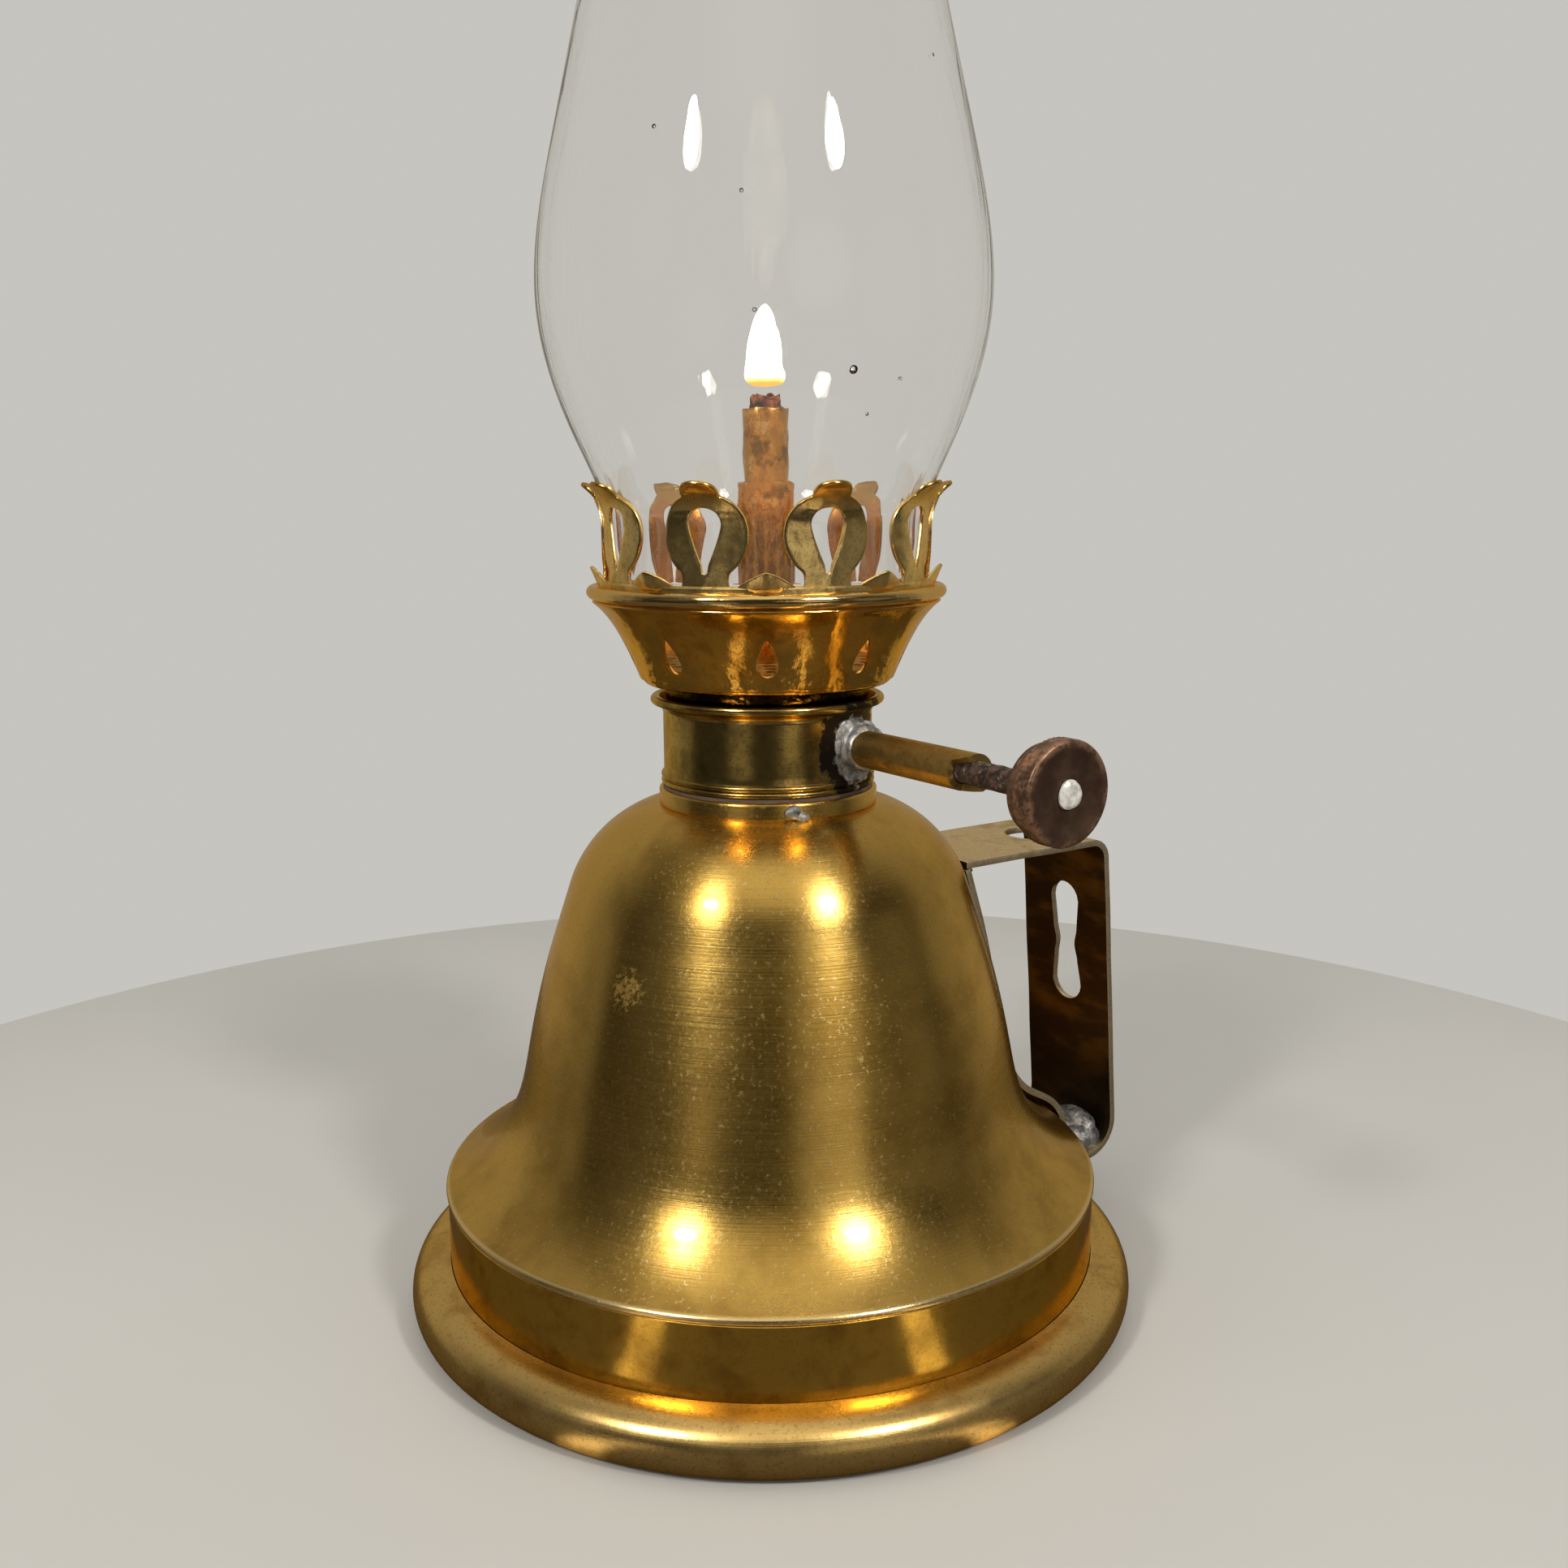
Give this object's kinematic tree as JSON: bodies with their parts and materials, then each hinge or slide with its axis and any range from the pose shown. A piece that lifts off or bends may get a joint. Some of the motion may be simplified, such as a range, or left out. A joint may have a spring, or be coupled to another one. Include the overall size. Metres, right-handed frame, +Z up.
{
  "type": "oil lamp",
  "caption": "Finger oil lamp with a bell-shaped brass font on a banded foot, strap handle, side-wound wick burner, pronged gallery and glass chimney.",
  "frame": {"origin": "on the lamp's axis, in the plane of its foot, at the centre of the flat underside", "axes": "+Z up along the lamp's axis, +X along the handle, the wick winder points along -Y"},
  "size_m": [0.1024, 0.0968, 0.24],
  "materials": {
    "bell_brass": "aged, satin, with fine speckle and horizontal brushing",
    "band_brass": "polished, darker amber",
    "foot_brass": "satin, worn bright on its crest",
    "inner_brass": "dull, unpolished",
    "handle_brass": "dull, brown inside the loop",
    "solder": "lumpy grey soft solder",
    "burner_brass": "tarnished, polished in places",
    "gallery_brass": "glossy amber",
    "crown_brass": "pale olive outside, coppery inside",
    "tube_brass": "ochre, unpolished",
    "wick_tube_brass": "heat tinted copper brown",
    "fibre": "pressed fibre, oil dark",
    "corroded_steel": "dark and rusty",
    "knob_brass": "oxidised dark brown, coppery milled edge",
    "rivet_steel": "bright peened end",
    "cotton": "braided cotton, charred at its top",
    "clear_glass": "clear blown glass with fine seeds",
    "flame": "burning oil"
  },
  "bodies": {
    "font": {"font_shell": "bell_brass", "foot_band": "band_brass", "foot_ring": "foot_brass", "font_floor": "inner_brass", "base_plate": "inner_brass", "font_collar": "bell_brass", "handle_strap": "handle_brass", "handle_foot_solder": "solder", "handle_root_solder": "solder"},
    "gasket": {"collar_gasket": "fibre"},
    "burner": {"burner_base": "burner_brass", "burner_thread": "inner_brass", "burner_deck": "inner_brass", "wick_tube": "wick_tube_brass", "wick_tube_sleeve": "wick_tube_brass", "winder_tube": "tube_brass", "winder_solder": "solder", "spur_bracket": "inner_brass"},
    "winder": {"winder_shaft": "corroded_steel", "spur_wheel": "corroded_steel", "knob_back": "knob_brass", "knob_front": "knob_brass", "knob_rivet": "rivet_steel"},
    "wick": {"wick": "cotton"},
    "gallery": {"gallery_bowl": "gallery_brass", "gallery_crown": "crown_brass", "air_screen": "inner_brass"},
    "chimney": {"chimney_glass": "clear_glass"}
  },
  "joints": [
    {"name": "burner_rise", "type": "slide", "parent": "font", "child": "gasket", "axis": [0, 0, 1], "range_m": [0, 0.00487]},
    {"name": "burner_unscrew", "type": "hinge", "parent": "gasket", "child": "burner", "pos_m": [0, 0, 0.0677], "axis": [0, 0, 1], "range_deg": [0, 1170]},
    {"name": "knob_turn", "type": "hinge", "parent": "burner", "child": "winder", "pos_m": [0.0046, 0, 0.0732], "axis": [0, 1, 0], "range_deg": [-218.27, 163.7]},
    {"name": "wick_lift", "type": "slide", "parent": "burner", "child": "wick", "axis": [0, 0, 1], "range_m": [-0.008, 0.006]},
    {"name": "gallery_lift", "type": "slide", "parent": "burner", "child": "gallery", "axis": [0, 0, 1], "range_m": [0, 0.045]},
    {"name": "chimney_lift", "type": "slide", "parent": "gallery", "child": "chimney", "axis": [0, 0, 1], "range_m": [0, 0.03]}
  ],
  "couplings": [
    {"joint": "burner_rise", "follows": "burner_unscrew", "m_per_rad": 0.00023873},
    {"joint": "wick_lift", "follows": "knob_turn", "m_per_rad": 0.0021}
  ]
}
